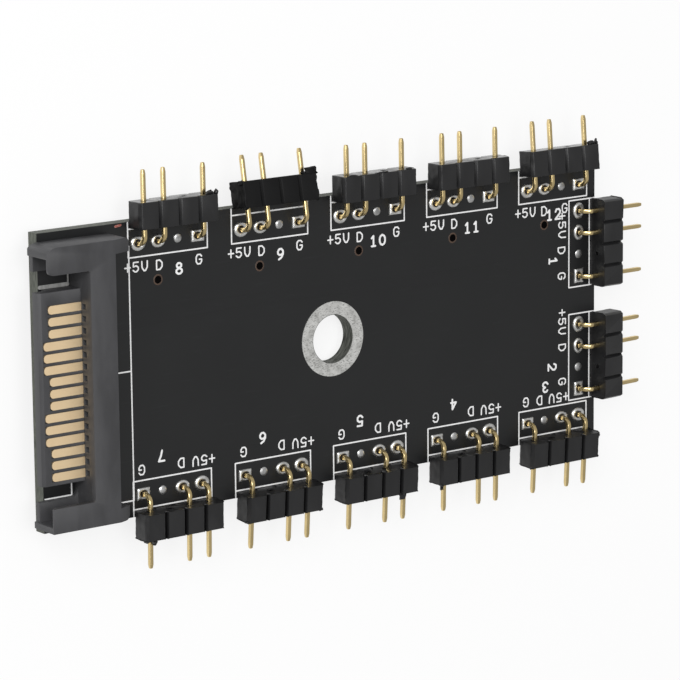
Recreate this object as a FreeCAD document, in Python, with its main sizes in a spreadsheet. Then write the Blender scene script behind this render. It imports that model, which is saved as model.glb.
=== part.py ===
import FreeCAD, Part
import math
import os
import Sketcher

# Hub for addressable fan lights: a plated board with one power socket at its -X end,
# twelve four-place pin rows round its edges and one plated mounting hole in its middle.
# Millimetres and degrees. The component face lies in z = 0 and looks along +Z, the
# mounting hole's centre is the origin, X runs along the board and Y across it.

DIMENSIONS = {
    # Board and mounting hole
    "board_length": 76.0,
    "board_width": 32.0,
    "board_thick": 1.6,
    "hole_bore": 5.5,
    "ring_outer": 8.4,
    "plating": 0.06,
    # Pin rows round the edges
    "header_pitch": 13.335,
    "first_header": -21.64,
    "row_inset": 2.42,
    "pin_pitch": 2.54,
    "pin_side": 0.5,
    "pin_bend": 0.9,
    "pin_reach": 8.0,
    "end_reach": 8.4,
    "pin_taper": 0.3,
    "tip_bevel": 0.12,
    "tail_out": 1.2,
    "pin_hole": 1.0,
    "key_hole": 0.9,
    # Plastic strips on the pins
    "strip_height": 2.54,
    "strip_depth": 2.9,
    "strip_gap": 1.75,
    "notch_width": 0.45,
    "notch_depth": 0.4,
    "pin_fit": 0.02,
    # Solder
    "joint_base": 1.8,
    "joint_height": 0.75,
    "joint_bevel": 0.35,
    "fill_depth": 1.1,
    "key_dome": 0.06,
    "key_bead": 0.2,
    "tail_base": 1.1,
    "tail_joint": 0.5,
    # Power socket housing
    "socket_width": 30.2,
    "socket_height": 4.0,
    "socket_overhang": 1.3,
    "arm_length": 5.25,
    "cavity_width": 24.6,
    "cavity_shift": -0.115,
    "wall_depth": 3.0,
    "side_wall": 0.65,
    "plate_thick": 0.7,
    "floor_thick": 0.6,
    "floor_back": 0.4,
    "floor_round": 0.8,
    "lead_in": 0.5,
    "ear_length": 1.45,
    "ear_width": 1.5,
    "ear_drop": 0.6,
    "ear_round": 0.6,
    "arm_round": 0.8,
    "plate_round": 0.3,
    "wall_round": 0.3,
    # Keyed tongue inside the housing
    "tongue_width": 20.52,
    "tongue_shift": -0.18,
    "tongue_top": 2.0,
    "tongue_thick": 1.2,
    "tongue_length": 5.15,
    "tongue_bevel": 0.3,
    "key_leg": 1.2,
    "key_lift": 0.1,
    "key_length": 3.6,
    # Contacts on the tongue
    "contact_pitch": 1.27,
    "contact_shift": -0.68,
    "contact_width": 0.9,
    "contact_thick": 0.25,
    "contact_stand": 0.05,
    "contact_length": 4.05,
    "contact_longer": 0.65,
    "contact_round": 0.4,
    "contact_fit": 0.02,
    "window_width": 0.6,
    "window_height": 0.7,
    "window_lift": 0.15,
    "window_depth": 1.2,
    "root_length": 2.7,
    "tail_width": 0.5,
    "tail_bend": 0.15,
    "near_tail": 0.5,
    "far_tail": 1.35,
    "tail_hole": 0.8,
    # Locating pegs under the housing
    "peg_size": 1.1,
    "peg_length": 1.9,
    "peg_inset": 2.2,
    "peg_back": 1.0,
    "peg_fit": 0.05,
    # Backward tilt of each pin row about the board's edge, as found on the object
    "tilt_01": 0.0,
    "tilt_02": 4.0,
    "tilt_03": 3.4,
    "tilt_04": 1.4,
    "tilt_05": 3.4,
    "tilt_06": 4.3,
    "tilt_07": 1.2,
    "tilt_08": 0.8,
    "tilt_09": 10.0,
    "tilt_10": 0.8,
    "tilt_11": 1.1,
    "tilt_12": 4.6,
    # How far the strip of row 9 has slid out along its pins
    "slide_09": 0.5,
}

CONTACT_COUNT = 15
LONG_CONTACTS = (4, 5, 6, 10, 11, 12)
ROW_COUNT = 5
COLUMN_COUNT = 2
PLACES = 4
BEND_STEPS = 3

# Places of the three pins and of the empty key place along a row, in pin pitches
PIN_PLACES = (-1.5, -0.5, 1.5)
KEY_PLACE = 0.5

# Lengths that follow from the driving dimensions
FRONT_X = "(-dims.board_length / 2 - dims.socket_overhang)"
WALL_X = "(%s + dims.arm_length)" % FRONT_X
REAR_X = "(%s + dims.wall_depth)" % WALL_X
CAVITY_LOW = "(dims.cavity_shift - dims.cavity_width / 2)"
CAVITY_HIGH = "(dims.cavity_shift + dims.cavity_width / 2)"
CONTACT_BED = "(dims.tongue_top + dims.contact_stand - dims.contact_thick)"
FIRST_CONTACT = "(dims.contact_shift + %d * dims.contact_pitch)" % (CONTACT_COUNT // 2)
PIN_RISE = "(dims.strip_height / 2)"
EDGE_Y = "(dims.board_width / 2)"
EDGE_X = "(dims.board_length / 2)"
BACK_Z = "(-dims.board_thick)"

doc = FreeCAD.newDocument("fan_light_hub")


def make_sheet():
    """Writes every driving dimension into the sheet under its alias."""
    sheet = doc.addObject("Spreadsheet::Sheet", "dims")
    for line, (alias, size) in enumerate(DIMENSIONS.items(), start=1):
        sheet.set("A%d" % line, alias)
        sheet.set("B%d" % line, repr(size))
        sheet.setAlias("B%d" % line, alias)
    doc.recompute()
    return sheet


SHEET = make_sheet()


def value(expression):
    """The number that an expression on the sheet gives."""
    return float(SHEET.evalExpression(str(expression)))


def make_body(label):
    body = doc.addObject("PartDesign::Body", label)
    body.Label = label
    return body


def origin_item(body, role):
    for item in body.Origin.OriginFeatures:
        if item.Role == role:
            return item
    raise ValueError("no origin item " + role)


def make_sketch(body, name, role, offset="0"):
    """A sketch on one of the body's own origin planes, moved along the plane's normal."""
    sketch = body.newObject("Sketcher::SketchObject", name)
    sketch.AttachmentSupport = [(origin_item(body, role), "")]
    sketch.MapMode = "FlatFace"
    if offset != "0":
        sketch.setExpression("AttachmentOffset.Base.z", offset)
    return sketch


def pin_down(item, corner, x, y):
    """Constraints that hold one point of a sketch at the two given expressions."""
    holds = []
    for kind, axis, expression in (("DistanceX", -2, x), ("DistanceY", -1, y)):
        if expression == "0":
            holds.append((Sketcher.Constraint("PointOnObject", item, corner, axis), None))
        else:
            size = value(expression)
            holds.append((Sketcher.Constraint(kind, item, corner, size), expression))
    return holds


def hold(sketch, holds):
    """Adds constraints together and ties their sizes to their expressions."""
    places = sketch.addConstraint([constraint for constraint, _ in holds])
    for place, (_, expression) in zip(places, holds):
        if expression:
            sketch.setExpression("Constraints[%d]" % place, expression)


def arc_between(start, end, radius):
    """A circular arc from start to end that bulges to the right of the way."""
    middle = (start + end) * 0.5
    chord = end - start
    side = FreeCAD.Vector(-chord.y, chord.x, 0).normalize()
    centre = middle + side * math.sqrt(max(radius ** 2 - (chord.Length / 2) ** 2, 0))
    first = math.atan2(start.y - centre.y, start.x - centre.x)
    last = math.atan2(end.y - centre.y, end.x - centre.x)
    return Part.ArcOfCircle(Part.Circle(centre, FreeCAD.Vector(0, 0, 1), radius), first, last)


def draw(sketch, points, arcs=None):
    """Draws a closed outline through the points; arcs gives some sides a radius."""
    arcs = arcs or {}
    spots = [FreeCAD.Vector(value(x), value(y), 0) for x, y in points]
    shapes = []
    for number, start in enumerate(spots):
        end = spots[(number + 1) % len(spots)]
        if number in arcs:
            shapes.append(arc_between(start, end, value(arcs[number])))
        else:
            shapes.append(Part.LineSegment(start, end))
    items = sketch.addGeometry(shapes, False)
    holds = []
    for number, item in enumerate(items):
        after = items[(number + 1) % len(items)]
        holds += pin_down(item, 1, *points[number])
        holds.append((Sketcher.Constraint("Coincident", item, 2, after, 1), None))
        if number in arcs:
            radius = Sketcher.Constraint("Radius", item, value(arcs[number]))
            holds.append((radius, arcs[number]))
    hold(sketch, holds)
    return sketch


def draw_box(sketch, x_low, y_low, x_high, y_high):
    return draw(sketch, [(x_low, y_low), (x_high, y_low), (x_high, y_high), (x_low, y_high)])


def draw_circle(sketch, x, y, diameter):
    centre = FreeCAD.Vector(value(x), value(y), 0)
    circle = Part.Circle(centre, FreeCAD.Vector(0, 0, 1), value(diameter) / 2)
    item = sketch.addGeometry(circle, False)
    across = Sketcher.Constraint("Diameter", item, value(diameter))
    hold(sketch, pin_down(item, 3, x, y) + [(across, diameter)])
    return sketch


def draw_octagon(sketch, x, y, across):
    """An eight-sided outline with its corners on a circle of the given diameter."""
    corners = range(0, 360, 45)
    return draw(sketch, [
        ("(%s + %s / 2 * cos(%d deg))" % (x, across, turn), "(%s + %s / 2 * sin(%d deg))" % (y, across, turn))
        for turn in corners])


def pad(body, sketch, length, backward=False):
    """Adds the sketch's outline along its normal, or against it when backward."""
    feature = body.newObject("PartDesign::Pad", sketch.Name + "_pad")
    feature.Profile = sketch
    feature.Reversed = backward
    feature.setExpression("Length", length)
    body.Tip = feature
    doc.recompute()
    return feature


def pocket(body, sketch, length, along=False):
    """Cuts the sketch's outline against its normal, or along it, and proves the cut."""
    before = body.Shape.Volume
    feature = body.newObject("PartDesign::Pocket", sketch.Name + "_pocket")
    feature.Profile = sketch
    feature.Reversed = along
    feature.setExpression("Length", length)
    body.Tip = feature
    doc.recompute()
    if body.Shape.Volume >= before:
        raise ValueError(feature.Name + " cuts nothing")
    return feature


def repeat(body, features, sketch, axis, count, spacing, backward=False):
    """Repeats features along a sketch axis and makes the pattern the body's tip."""
    pattern = body.newObject("PartDesign::LinearPattern", features[0].Name + "_row")
    pattern.Originals = features
    pattern.Direction = (sketch, [axis])
    pattern.Reversed = backward
    pattern.Mode = "Spacing"
    pattern.Occurrences = count
    pattern.setExpression("Offset", spacing)
    body.Tip = pattern
    doc.recompute()
    return pattern


def edges_where(body, wanted):
    """Names of the straight edges of the body's tip whose two ends pass the test."""
    names = []
    for number, edge in enumerate(body.Tip.Shape.Edges, start=1):
        if len(edge.Vertexes) == 2 and all(wanted(corner.Point) for corner in edge.Vertexes):
            names.append("Edge%d" % number)
    if not names:
        raise ValueError("no such edge on " + body.Label)
    return names


def near(number, expression):
    return abs(number - value(expression)) < 1e-4


def dress(body, kind, name, edges, size):
    """Rounds or bevels some edges of the body's tip."""
    base = body.Tip
    feature = body.newObject("PartDesign::" + kind, name)
    feature.Base = (base, edges)
    feature.setExpression("Radius" if kind == "Fillet" else "Size", size)
    body.Tip = feature
    doc.recompute()
    return feature


def along(place, centre, sign=1):
    """An expression for a place of a pin row, counted in pitches from its centre."""
    return "(%s + %g * dims.pin_pitch)" % (centre, sign * place)


def row_groups():
    """The first row of each side: name, pattern axis, copies, pin places and key place."""
    top_y = "(%s - dims.row_inset)" % EDGE_Y
    low_y = "(dims.row_inset - %s)" % EDGE_Y
    end_x = "(%s - dims.row_inset)" % EDGE_X
    low_column = "(-dims.header_pitch / 2)"
    groups = []
    for name, y, sign in (("upper", top_y, 1), ("lower", low_y, -1)):
        pins = [(along(place, "dims.first_header", sign), y) for place in PIN_PLACES]
        key = (along(KEY_PLACE, "dims.first_header", sign), y)
        groups.append((name, "H_Axis", ROW_COUNT, pins, key))
    pins = [(end_x, along(place, low_column, -1)) for place in PIN_PLACES]
    key = (end_x, along(KEY_PLACE, low_column, -1))
    groups.append(("side", "V_Axis", COLUMN_COUNT, pins, key))
    return groups


def contact_y(number):
    return "(%s - %d * dims.contact_pitch)" % (FIRST_CONTACT, number - 1)


def tail_x(number):
    row = "dims.near_tail" if number % 2 else "dims.far_tail"
    return "(%s + %s)" % (REAR_X, row)


def peg_places():
    x = "(%s - dims.peg_back)" % REAR_X
    y = "(dims.socket_width / 2 - dims.peg_inset)"
    return [(x, y), (x, "(-%s)" % y)]


def make_board():
    """The board with its plated mounting hole and every pin, tail and peg hole."""
    body = make_body("circuit_board")
    plate = make_sketch(body, "board_outline", "XY_Plane")
    draw_box(plate, "(-%s)" % EDGE_X, "(-%s)" % EDGE_Y, EDGE_X, EDGE_Y)
    pad(body, plate, "dims.board_thick", backward=True)
    hole = make_sketch(body, "mounting_hole", "XY_Plane")
    draw_circle(hole, "0", "0", "dims.hole_bore")
    for x, y in peg_places():
        draw_circle(hole, x, y, "dims.peg_size + 2 * dims.peg_fit")
    pocket(body, hole, "dims.board_thick")
    for name, axis, copies, pins, key in row_groups():
        holes = make_sketch(body, name + "_holes", "XY_Plane")
        for x, y in pins:
            draw_octagon(holes, x, y, "dims.pin_hole")
        draw_octagon(holes, key[0], key[1], "dims.key_hole")
        cut = pocket(body, holes, "dims.board_thick")
        repeat(body, [cut], holes, axis, copies, "dims.header_pitch")
    for first, copies in ((1, CONTACT_COUNT // 2 + 1), (2, CONTACT_COUNT // 2)):
        tails = make_sketch(body, "tail_holes_%d" % first, "XY_Plane")
        draw_octagon(tails, tail_x(first), contact_y(first), "dims.tail_hole")
        cut = pocket(body, tails, "dims.board_thick")
        repeat(body, [cut], tails, "V_Axis", copies, "2 * dims.contact_pitch", backward=True)
    return body


def make_ring():
    """Tinned copper rings round the mounting hole, one on each face of the board."""
    body = make_body("mounting_ring")
    for name, level, backward in (("upper_ring", "0", False), ("lower_ring", BACK_Z, True)):
        ring = make_sketch(body, name, "XY_Plane", level)
        draw_circle(ring, "0", "0", "dims.ring_outer")
        draw_circle(ring, "0", "0", "dims.hole_bore")
        pad(body, ring, "dims.plating", backward=backward)
    return body


def is_upright(body, name):
    box = body.Tip.Shape.getElement(name).BoundBox
    return box.XLength < 1e-6 and box.YLength < 1e-6


def make_housing_shell(body):
    """Rear block and two arms of full height, and two ears that slope down rearwards."""
    half = "(dims.socket_width / 2)"
    ear_x = "(%s + dims.ear_length)" % REAR_X
    ear_y = "(%s - dims.ear_width)" % half
    outline = make_sketch(body, "housing_outline", "XY_Plane")
    draw(outline, [
        (FRONT_X, "(-%s)" % half), (FRONT_X, CAVITY_LOW), (WALL_X, CAVITY_LOW),
        (WALL_X, CAVITY_HIGH), (FRONT_X, CAVITY_HIGH), (FRONT_X, half),
        (ear_x, half), (ear_x, ear_y), (REAR_X, ear_y),
        (REAR_X, "(-%s)" % ear_y), (ear_x, "(-%s)" % ear_y), (ear_x, "(-%s)" % half),
    ])
    pad(body, outline, "dims.socket_height")
    slope = make_sketch(body, "ear_slope", "XZ_Plane", "(-%s)" % half)
    draw(slope, [
        (REAR_X, "dims.socket_height"), (ear_x, "dims.socket_height"),
        (ear_x, "(dims.socket_height - dims.ear_drop)")])
    pocket(body, slope, "dims.socket_width", along=True)
    corners = edges_where(body, lambda spot: near(spot.x, ear_x) and near(abs(spot.y), half))
    upright = [name for name in corners if is_upright(body, name)]
    dress(body, "Fillet", "ear_rounding", upright, "dims.ear_round")


def fill_corners(body, name, level, height, radius):
    """Rounds the cavity's two rear corners with a hollow fillet of the given height."""
    front = "(%s - %s)" % (WALL_X, radius)
    corners = make_sketch(body, name, "XY_Plane", level)
    rounded = {0: radius}
    high = "(%s - %s)" % (CAVITY_HIGH, radius)
    draw(corners, [(WALL_X, high), (front, CAVITY_HIGH), (WALL_X, CAVITY_HIGH)], rounded)
    low = "(%s + %s)" % (CAVITY_LOW, radius)
    draw(corners, [(front, CAVITY_LOW), (WALL_X, low), (WALL_X, CAVITY_LOW)], rounded)
    pad(body, corners, height)


def make_channels(body):
    """Guide channels in both arms, their thin floors and the roundings round the cavity."""
    wall_y = "(dims.socket_width / 2 - dims.side_wall)"
    roof_z = "(dims.socket_height - dims.plate_thick)"
    inside = "(dims.tongue_width / 2)"
    channel = make_sketch(body, "arm_channel", "YZ_Plane", FRONT_X)
    draw_box(channel, inside, "dims.floor_thick", wall_y, roof_z)
    draw_box(channel, "(-%s)" % wall_y, "dims.floor_thick", "(-%s)" % inside, roof_z)
    pocket(body, channel, "dims.arm_length", along=True)
    lip = make_sketch(body, "floor_end", "XY_Plane")
    floor_x = "(%s + dims.floor_back)" % FRONT_X
    draw_box(lip, FRONT_X, inside, floor_x, wall_y)
    draw_box(lip, FRONT_X, "(-%s)" % wall_y, floor_x, "(-%s)" % inside)
    pocket(body, lip, "dims.floor_thick", along=True)
    edges = edges_where(body, lambda spot: near(spot.x, FRONT_X) and near(spot.z, roof_z))
    dress(body, "Chamfer", "lead_in_bevel", edges, "dims.lead_in")
    corner = edges_where(body, lambda spot: near(spot.x, FRONT_X) and near(spot.y, CAVITY_HIGH))
    dress(body, "Fillet", "arm_corner", corner, "dims.arm_round")
    fill_corners(body, "floor_corners", "0", "dims.floor_thick", "dims.floor_round")
    fill_corners(body, "plate_corners", roof_z, "dims.plate_thick", "dims.plate_round")
    ends = edges_where(body, lambda spot: near(spot.x, FRONT_X) and near(spot.z, "0"))
    dress(body, "Fillet", "wall_end", ends, "dims.wall_round")


def make_tongue(body):
    """Tongue with a bevelled leading edge and, under its +Y end, the shorter keying leg."""
    low = "(dims.tongue_shift - dims.tongue_width / 2)"
    high = "(dims.tongue_shift + dims.tongue_width / 2)"
    under = "(dims.tongue_top - dims.tongue_thick)"
    section = make_sketch(body, "tongue_section", "YZ_Plane", WALL_X)
    draw_box(section, low, under, high, "dims.tongue_top")
    pad(body, section, "dims.tongue_length", backward=True)
    leg = make_sketch(body, "key_leg", "YZ_Plane", WALL_X)
    draw_box(leg, "(%s - dims.key_leg)" % high, "dims.key_lift", high, "dims.tongue_top")
    pad(body, leg, "dims.key_length", backward=True)
    tip_x = "(%s - dims.tongue_length)" % WALL_X
    edges = edges_where(body, lambda spot: near(spot.x, tip_x) and near(spot.z, "dims.tongue_top"))
    dress(body, "Chamfer", "tongue_bevel_edge", edges, "dims.tongue_bevel")


def make_contact_seats(body):
    """Grooves on the tongue, slots through the wall and the windows above them."""
    half = "(dims.contact_width / 2 + dims.contact_fit)"
    low = "(%s - %s)" % (contact_y(1), half)
    high = "(%s + %s)" % (contact_y(1), half)
    start = "(%s - dims.contact_length - dims.contact_fit)" % WALL_X
    groove = make_sketch(body, "contact_groove", "XY_Plane", "dims.tongue_top")
    draw_box(groove, start, low, WALL_X, high)
    depth = "(dims.tongue_top - %s)" % CONTACT_BED
    short = pocket(body, groove, depth)
    top = "(dims.tongue_top + dims.contact_stand + dims.contact_fit)"
    slot = make_sketch(body, "contact_slot", "YZ_Plane", WALL_X)
    draw_box(slot, low, CONTACT_BED, high, top)
    through = pocket(body, slot, "dims.wall_depth", along=True)
    sill = "(%s + dims.window_lift)" % top
    side = "(dims.window_width / 2)"
    window = make_sketch(body, "contact_window", "YZ_Plane", WALL_X)
    draw_box(
        window, "(%s - %s)" % (contact_y(1), side), sill,
        "(%s + %s)" % (contact_y(1), side), "(%s + dims.window_height)" % sill)
    recess = pocket(body, window, "dims.window_depth", along=True)
    repeat(
        body, [short, through, recess], groove, "V_Axis", CONTACT_COUNT,
        "dims.contact_pitch", backward=True)
    longer = make_sketch(body, "longer_groove", "XY_Plane", "dims.tongue_top")
    for first in (LONG_CONTACTS[0], LONG_CONTACTS[3]):
        draw_box(
            longer, "(%s - dims.contact_longer)" % start, "(%s - %s)" % (contact_y(first), half),
            start, "(%s + %s)" % (contact_y(first), half))
    long = pocket(body, longer, depth)
    repeat(body, [long], longer, "V_Axis", 3, "dims.contact_pitch", backward=True)


def make_housing():
    """Moulded socket housing lying on the board's end."""
    body = make_body("power_housing")
    make_housing_shell(body)
    make_channels(body)
    make_tongue(body)
    make_contact_seats(body)
    pegs = make_sketch(body, "pegs", "XY_Plane")
    for x, y in peg_places():
        draw_circle(pegs, x, y, "dims.peg_size")
    pad(body, pegs, "dims.peg_length", backward=True)
    return body


def make_contact(number):
    """One power contact: a blade on the tongue, a root in the wall and a bent tail."""
    body = make_body("power_contact_%02d" % number)
    length = "dims.contact_length"
    if number in LONG_CONTACTS:
        length = "(dims.contact_length + dims.contact_longer)"
    half = "(dims.contact_width / 2)"
    corner = "(%s - dims.contact_round)" % half
    tip = "(-%s)" % length
    inner = "(dims.contact_round - %s)" % length
    blade = make_sketch(body, "blade_%02d" % number, "XY_Plane", CONTACT_BED)
    draw(blade, [
        (inner, "(-%s)" % half), ("dims.root_length", "(-%s)" % half),
        ("dims.root_length", half), (inner, half),
        (tip, corner), (tip, "(-%s)" % corner),
    ], arcs={3: "dims.contact_round", 5: "dims.contact_round"})
    pad(body, blade, "dims.contact_thick")
    make_tail(body, number)
    body.setExpression(
        "Placement",
        "placement(vector(%s; %s; 0); rotation(0; 0; 0))" % (WALL_X, contact_y(number)))
    return body


def make_tail(body, number):
    """Narrow tail that leaves the housing's rear and goes down through the board."""
    top = "(%s + dims.contact_thick)" % CONTACT_BED
    row = "dims.near_tail" if number % 2 else "dims.far_tail"
    inner = "(dims.wall_depth + %s - dims.contact_thick / 2)" % row
    outer = "(%s + dims.contact_thick)" % inner
    foot = "(%s - dims.tail_out)" % BACK_Z
    outline = make_sketch(body, "tail_%02d" % number, "XZ_Plane", "(-dims.tail_width / 2)")
    draw(outline, [
        ("dims.root_length", CONTACT_BED), (inner, CONTACT_BED), (inner, foot), (outer, foot),
        (outer, "(%s - dims.tail_bend)" % top), ("(%s - dims.tail_bend)" % outer, top),
        ("dims.root_length", top)])
    pad(body, outline, "dims.tail_width")


def header_place(number):
    """Edge point under a row's middle and the row's turn about Z."""
    if number <= COLUMN_COUNT:
        y = "(%g * dims.header_pitch)" % (COLUMN_COUNT / 2 + 0.5 - number)
        return EDGE_X, y, -90
    if number <= COLUMN_COUNT + ROW_COUNT:
        step = COLUMN_COUNT + ROW_COUNT - number
        return "(dims.first_header + %d * dims.header_pitch)" % step, "(-%s)" % EDGE_Y, 180
    step = number - COLUMN_COUNT - ROW_COUNT - 1
    return "(dims.first_header + %d * dims.header_pitch)" % step, EDGE_Y, 0


def seat_header(body, number):
    """Sets a row at its edge point, turned outwards and tilted about the board's edge."""
    x, y, turn = header_place(number)
    body.setExpression(
        "Placement",
        "placement(vector(%s; %s; 0); rotation(%d; 0; -dims.tilt_%02d))" % (x, y, turn, number))


def strip_outline():
    """Cross-section of a strip: four cells parted by a notch above and below."""
    ends = "(%d * dims.pin_pitch)" % (PLACES // 2)
    side = "(dims.notch_width / 2)"
    high = "dims.strip_height"
    cuts = [("(%d * dims.pin_pitch)" % step) if step else "0" for step in (-1, 0, 1)]
    points = [("(-%s)" % ends, "dims.notch_depth"), ("(%s - %s)" % (side, ends), "0")]
    for cut in cuts:
        points += [
            ("(%s - %s)" % (cut, side), "0"), (cut, "dims.notch_depth"),
            ("(%s + %s)" % (cut, side), "0")]
    points += [("(%s - %s)" % (ends, side), "0"), (ends, "dims.notch_depth")]
    deep = "(%s - dims.notch_depth)" % high
    points += [(ends, deep), ("(%s - %s)" % (ends, side), high)]
    for cut in reversed(cuts):
        points += [
            ("(%s + %s)" % (cut, side), high), (cut, deep), ("(%s - %s)" % (cut, side), high)]
    points += [("(%s - %s)" % (side, ends), high), ("(-%s)" % ends, deep)]
    return points


def make_strip(number):
    """Plastic strip of a row, with a square hole at each of its four places."""
    body = make_body("header_body_%02d" % number)
    inner = "(dims.row_inset - dims.strip_gap)"
    if number == 9:
        inner = "(%s - dims.slide_09)" % inner
    outline = make_sketch(body, "strip_%02d" % number, "XZ_Plane", inner)
    draw(outline, strip_outline())
    pad(body, outline, "dims.strip_depth", backward=True)
    first = "(%g * dims.pin_pitch)" % PIN_PLACES[0]
    half = "(dims.pin_side / 2 + dims.pin_fit)"
    hole = make_sketch(body, "strip_hole_%02d" % number, "XZ_Plane", inner)
    draw_box(
        hole, "(%s - %s)" % (first, half), "(%s - %s)" % (PIN_RISE, half),
        "(%s + %s)" % (first, half), "(%s + %s)" % (PIN_RISE, half))
    cut = pocket(body, hole, "dims.strip_depth")
    repeat(body, [cut], hole, "H_Axis", PLACES, "dims.pin_pitch")
    seat_header(body, number)
    return body


def pin_outline(tilt, tip):
    """Side outline of a pin: bevelled tip, run, BEND_STEPS chords and the upright leg."""
    lean = "(%s * 1 deg)" % tilt
    turn = "((90 + %s) * 1 deg)" % tilt
    corner_y = "(-dims.row_inset / cos%s - %s * tan%s)" % (lean, PIN_RISE, lean)
    corner_z = "(%s / cos%s + dims.row_inset * tan%s)" % (PIN_RISE, lean, lean)
    centre_y = "(%s + dims.pin_bend * tan(%s / 2))" % (corner_y, turn)
    centre_z = "(%s - dims.pin_bend)" % PIN_RISE
    leg = "(%s + dims.board_thick + dims.tail_out)" % corner_z
    sides = []
    for sign in (1, -1):
        half = "(%d * dims.pin_side / 2)" % sign
        radius = "(dims.pin_bend + %s)" % half
        side = [
            (tip, "(%s + %s - %d * dims.tip_bevel)" % (PIN_RISE, half, sign)),
            ("(%s - dims.pin_taper)" % tip, "(%s + %s)" % (PIN_RISE, half))]
        for step in range(BEND_STEPS + 1):
            part = "(%d / %d * %s)" % (step, BEND_STEPS, turn)
            side.append((
                "(%s - %s * sin%s)" % (centre_y, radius, part),
                "(%s + %s * cos%s)" % (centre_z, radius, part)))
        side.append((
            "(%s + %s * sin%s - %s * cos%s)" % (corner_y, leg, lean, half, lean),
            "(%s - %s * cos%s - %s * sin%s)" % (PIN_RISE, leg, lean, half, lean)))
        sides.append(side)
    return sides[0] + sides[1][::-1]


def make_pins(number):
    """The three pins of a row, each bent from square wire and bevelled at its tip."""
    body = make_body("header_pins_%02d" % number)
    reach = "dims.end_reach" if number <= COLUMN_COUNT else "dims.pin_reach"
    tip = "(%s - dims.row_inset)" % reach
    first = "(%g * dims.pin_pitch)" % PIN_PLACES[0]
    outline = make_sketch(
        body, "pin_outline_%02d" % number, "YZ_Plane", "(%s - dims.pin_side / 2)" % first)
    draw(outline, pin_outline("dims.tilt_%02d" % number, tip))
    run = pad(body, outline, "dims.pin_side")
    flanks = make_sketch(
        body, "pin_flanks_%02d" % number, "XY_Plane", "(%s + dims.pin_side / 2)" % PIN_RISE)
    for sign in (1, -1):
        flank = "(%s + %d * dims.pin_side / 2)" % (first, sign)
        nose = "(%s - %d * dims.tip_bevel)" % (flank, sign)
        draw(flanks, [(flank, tip), (nose, tip), (flank, "(%s - dims.pin_taper)" % tip)])
    bevel = pocket(body, flanks, "dims.pin_side")
    repeat(body, [run, bevel], outline, "N_Axis", 2, "dims.pin_pitch")
    repeat(body, [run, bevel], outline, "N_Axis", 2, "%d * dims.pin_pitch" % (PLACES - 1))
    seat_header(body, number)
    return body


def add_joints(body, name, pins):
    """A bevelled foot on the board's back, a fill in the hole and a square way for each leg."""
    low = "(%s - dims.joint_height)" % BACK_Z
    half = "(dims.pin_side / 2)"
    base = make_sketch(body, name + "_joints", "XY_Plane", BACK_Z)
    fill = make_sketch(body, name + "_fills", "XY_Plane", BACK_Z)
    square = make_sketch(body, name + "_legs", "XY_Plane", low)
    for x, y in pins:
        draw_octagon(base, x, y, "dims.joint_base")
        draw_octagon(fill, x, y, "dims.pin_hole")
        draw_box(
            square, "(%s - %s)" % (x, half), "(%s - %s)" % (y, half),
            "(%s + %s)" % (x, half), "(%s + %s)" % (y, half))
    pad(body, base, "dims.joint_height", backward=True)
    spots = [(value(x), value(y)) for x, y in pins]
    rim = edges_where(body, lambda spot: near(spot.z, low) and any(
        near(math.hypot(spot.x - x, spot.y - y), "dims.joint_base / 2") for x, y in spots))
    dress(body, "Chamfer", name + "_bevel", rim, "dims.joint_bevel")
    pad(body, fill, "dims.fill_depth")
    pocket(body, square, "dims.joint_height + dims.fill_depth", along=True)
    return base


def make_header_solder():
    """Solder of the pin rows: a fill in each hole and a bevelled foot round each pin's tail."""
    body = make_body("header_solder")
    upper, lower, side = [pins for _, _, _, pins, _ in row_groups()]
    base = add_joints(body, "edge", upper + lower)
    row = repeat(body, [body.Tip], base, "H_Axis", ROW_COUNT, "dims.header_pitch")
    row.TransformMode = "Whole shape"
    next_side = [(x, "(%s + dims.header_pitch)" % y) for x, y in side]
    add_joints(body, "side", side + next_side)
    return body


def make_key_solder():
    """Solder that closes the empty key place of each row."""
    body = make_body("key_solder")
    for name, axis, copies, _, key in row_groups():
        dot = make_sketch(body, name + "_keys", "XY_Plane", "dims.key_dome")
        draw_octagon(dot, key[0], key[1], "dims.key_hole")
        plug = pad(body, dot, "dims.key_dome + dims.board_thick + dims.key_bead", backward=True)
        repeat(body, [plug], dot, axis, copies, "dims.header_pitch")
    return body


def make_tail_solder():
    """Solder round the power contacts' tails on the board's back."""
    body = make_body("power_solder")
    for first, copies in ((1, CONTACT_COUNT // 2 + 1), (2, CONTACT_COUNT // 2)):
        x = tail_x(first)
        y = contact_y(first)
        deep = "(dims.contact_thick / 2)"
        wide = "(dims.tail_width / 2)"
        base = make_sketch(body, "tail_joints_%d" % first, "XY_Plane", BACK_Z)
        draw_octagon(base, x, y, "dims.tail_base")
        draw_box(
            base, "(%s - %s)" % (x, deep), "(%s - %s)" % (y, wide),
            "(%s + %s)" % (x, deep), "(%s + %s)" % (y, wide))
        joint = pad(body, base, "dims.tail_joint", backward=True)
        repeat(body, [joint], base, "V_Axis", copies, "2 * dims.contact_pitch", backward=True)
    return body


def make_pieces():
    pieces = [make_board(), make_ring(), make_housing()]
    pieces += [make_contact(number) for number in range(1, CONTACT_COUNT + 1)]
    numbers = range(1, COLUMN_COUNT + 2 * ROW_COUNT + 1)
    pieces += [make_strip(number) for number in numbers]
    pieces += [make_pins(number) for number in numbers]
    pieces += [make_header_solder(), make_key_solder(), make_tail_solder()]
    doc.recompute()
    return pieces


def check(pieces):
    """Stops at any failed object and at any piece without a valid shape."""
    for item in doc.Objects:
        if "Invalid" in item.State or "Error" in item.State:
            raise RuntimeError(item.Label + " failed")
    for piece in pieces:
        if piece.Shape.isNull() or not piece.Shape.isValid():
            raise RuntimeError(piece.Label + " has no valid shape")


def write(pieces):
    os.makedirs("parts", exist_ok=True)
    for piece in pieces:
        piece.Shape.exportStep("parts/%s.step" % piece.Label)


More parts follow.
